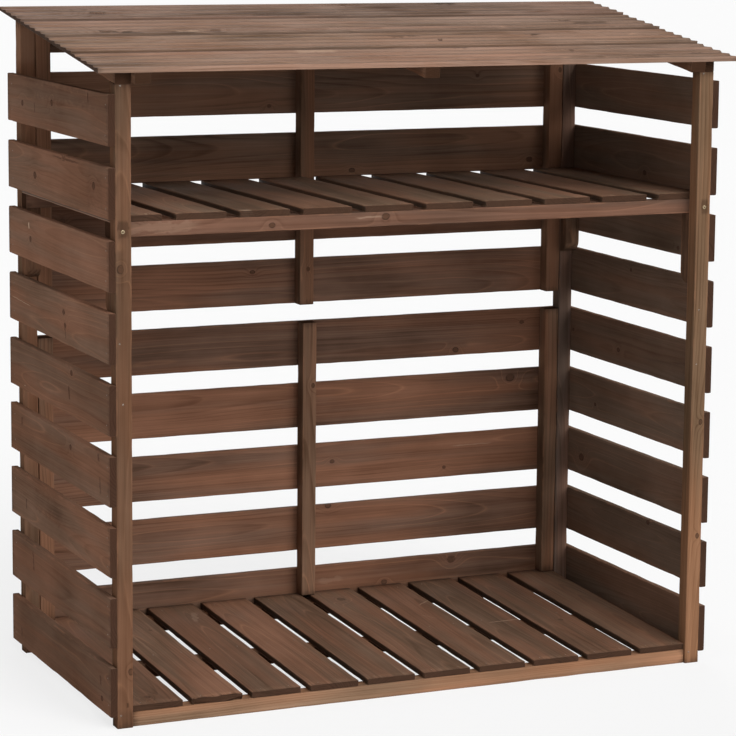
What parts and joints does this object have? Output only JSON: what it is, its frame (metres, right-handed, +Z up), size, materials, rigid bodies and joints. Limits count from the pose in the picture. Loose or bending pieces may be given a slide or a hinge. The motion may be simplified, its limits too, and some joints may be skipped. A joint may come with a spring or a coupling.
{
  "type": "firewood log store",
  "caption": "Open-fronted timber log store with slatted sides and back, a raised slatted floor, one shelf and a sloping roof of stepped boards.",
  "frame": {"origin": "on the ground under the middle of the overall outline", "axes": "+X to the right seen from the open front, +Y to the back, +Z up"},
  "size_m": [1.193, 0.5786, 1.1848],
  "materials": {
    "frame_wood": "brown stained sawn softwood",
    "cladding_wood": "brown stained sawn softwood",
    "board_wood": "brown stained sawn softwood",
    "roof_wood": "paler weathered brown softwood with small steps milled across each board"
  },
  "bodies": {
    "root": {"back_batten_lower_left": "frame_wood", "back_batten_lower_middle": "frame_wood", "back_batten_lower_right": "frame_wood", "back_batten_upper_left": "frame_wood", "back_batten_upper_middle": "frame_wood", "back_batten_upper_right": "frame_wood", "back_boards_lower": "cladding_wood", "back_boards_upper": "cladding_wood", "floor_boards": "board_wood", "floor_rail_back": "frame_wood", "floor_rail_front": "frame_wood", "floor_rail_middle": "frame_wood", "post_back_left": "frame_wood", "post_back_right": "frame_wood", "post_front_left": "frame_wood", "post_front_right": "frame_wood", "roof_batten_left": "frame_wood", "roof_batten_middle": "frame_wood", "roof_batten_right": "frame_wood", "roof_board_1": "roof_wood", "roof_board_2": "roof_wood", "roof_board_3": "roof_wood", "roof_board_4": "roof_wood", "shelf_block_back_left": "frame_wood", "shelf_block_back_right": "frame_wood", "shelf_block_front_left": "frame_wood", "shelf_block_front_right": "frame_wood", "shelf_boards": "board_wood", "shelf_rail_back": "frame_wood", "shelf_rail_front": "frame_wood", "side_boards_left": "cladding_wood", "side_boards_right": "cladding_wood", "top_rail_left": "frame_wood", "top_rail_right": "frame_wood"}
  },
  "joints": []
}
